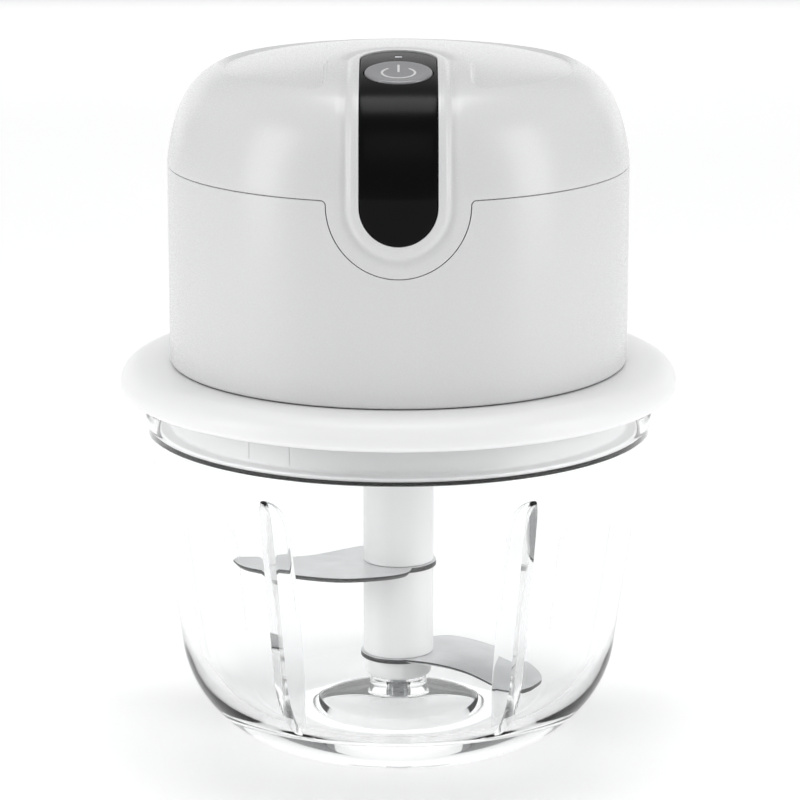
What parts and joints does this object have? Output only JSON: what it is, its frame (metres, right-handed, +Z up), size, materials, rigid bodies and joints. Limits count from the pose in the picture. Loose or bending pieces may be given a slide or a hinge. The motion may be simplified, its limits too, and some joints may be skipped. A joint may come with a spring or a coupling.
{
  "type": "food processor",
  "caption": "Cordless mini food processor: clear ribbed bowl, stacked steel blades on a hub, a wide cover, and a lift-off motor unit with a top button.",
  "frame": {"origin": "middle of the bowl's foot, on the surface it stands on", "axes": "+Z up the blade axis, -Y towards the button panel, +Y towards the charging port, +X to the right seen from the panel"},
  "size_m": [0.09, 0.09, 0.1145],
  "materials": {
    "clear_plastic": "clear moulded plastic, polished",
    "white_plastic": "glossy white moulding",
    "cover_plastic": "milky white moulding, slightly translucent",
    "black_gloss": "piano black",
    "button_grey": "satin mid grey with a lighter ring",
    "light_pipe": "frosted",
    "grey_plastic": "light grey moulding",
    "gear_plastic": "natural acetal",
    "dark_moulding": "dark moulding and ferrite",
    "dark_rubber": "dark silicone",
    "flap_silicone": "soft white silicone",
    "blade_steel": "brushed, ground edges",
    "steel": "plain steel",
    "bush_bronze": "sintered bronze and brass",
    "winding_copper": "copper windings on laminations",
    "circuit_board": "solder mask green",
    "cell_wrap": "blue shrink wrap",
    "lead_red": "red insulation",
    "lead_black": "black insulation"
  },
  "bodies": {
    "bowl_body": {"bowl": "clear_plastic", "centre_pin": "steel"},
    "blade_set": {"blade_hub": "white_plastic", "upper_blade": "blade_steel", "lower_blade": "blade_steel"},
    "cover_body": {"cover": "cover_plastic", "cover_seal": "dark_rubber"},
    "motor_unit": {"motor_housing": "white_plastic", "housing_cap": "white_plastic", "front_panel": "black_gloss", "led_window": "light_pipe", "tact_switch": "dark_moulding", "button_board": "circuit_board", "button_board_screw_left": "steel", "button_board_screw_right": "steel", "motor_base": "grey_plastic", "shaft_seal": "dark_rubber", "output_bush": "bush_bronze", "base_screw_1": "steel", "base_screw_2": "steel", "base_screw_3": "steel", "base_screw_4": "steel", "ring_gear": "gear_plastic", "gearbox_cover": "grey_plastic", "gearbox_screw_1": "steel", "gearbox_screw_2": "steel", "gearbox_screw_3": "steel", "motor_can": "steel", "magnet_left": "dark_moulding", "magnet_right": "dark_moulding", "motor_end_cap": "dark_moulding", "motor_screw_left": "steel", "motor_screw_right": "steel", "battery_left": "cell_wrap", "battery_right": "cell_wrap", "battery_tray": "grey_plastic", "battery_link": "steel", "control_board": "circuit_board", "control_board_screw_left": "steel", "control_board_screw_right": "steel", "charging_socket": "steel", "motor_lead_red": "lead_red", "motor_lead_black": "lead_black"},
    "output": {"planet_carrier": "steel", "drive_coupling": "steel"},
    "planet_1": {"planet_gear_1": "gear_plastic"},
    "planet_2": {"planet_gear_2": "gear_plastic"},
    "planet_3": {"planet_gear_3": "gear_plastic"},
    "rotor_body": {"rotor": "winding_copper", "sun_gear": "bush_bronze"},
    "button_body": {"power_button": "button_grey"},
    "flap_body": {"port_flap": "flap_silicone"}
  },
  "joints": [
    {"name": "blade_spin", "type": "hinge", "parent": "bowl_body", "child": "blade_set", "pos_m": [0, 0, 0.0103], "axis": [0, 0, 1], "continuous": true},
    {"name": "cover_lift", "type": "slide", "parent": "bowl_body", "child": "cover_body", "axis": [0, 0, 1], "range_m": [0, 0.075]},
    {"name": "motor_unit_lift", "type": "slide", "parent": "cover_body", "child": "motor_unit", "axis": [0, 0, 1], "range_m": [0, 0.06]},
    {"name": "output_spin", "type": "hinge", "parent": "motor_unit", "child": "output", "pos_m": [0, 0, 0.0576], "axis": [0, 0, 1], "continuous": true},
    {"name": "planet_1_spin", "type": "hinge", "parent": "output", "child": "planet_1", "pos_m": [0.006, 0, 0.0628], "axis": [0, 0, 1], "continuous": true},
    {"name": "planet_2_spin", "type": "hinge", "parent": "output", "child": "planet_2", "pos_m": [-0.003, 0.0052, 0.0628], "axis": [0, 0, 1], "continuous": true},
    {"name": "planet_3_spin", "type": "hinge", "parent": "output", "child": "planet_3", "pos_m": [-0.003, -0.0052, 0.0628], "axis": [0, 0, 1], "continuous": true},
    {"name": "rotor_spin", "type": "hinge", "parent": "motor_unit", "child": "rotor_body", "pos_m": [0, 0, 0.08], "axis": [0, 0, 1], "continuous": true},
    {"name": "button_press", "type": "slide", "parent": "motor_unit", "child": "button_body", "axis": [0, 0.1668, -0.986], "range_m": [0, 0.0007], "stiffness_N_per_m": 1500, "springref_m": -0.0005},
    {"name": "flap_open", "type": "hinge", "parent": "motor_unit", "child": "flap_body", "pos_m": [0, 0.0361, 0.0691], "axis": [-1, 0, 0], "range_deg": [0, 90]}
  ],
  "couplings": [
    {"joint": "output_spin", "follows": "blade_spin", "ratio": 1},
    {"joint": "planet_1_spin", "follows": "blade_spin", "ratio": -3},
    {"joint": "planet_2_spin", "follows": "blade_spin", "ratio": -3},
    {"joint": "planet_3_spin", "follows": "blade_spin", "ratio": -3},
    {"joint": "rotor_spin", "follows": "blade_spin", "ratio": 4}
  ]
}
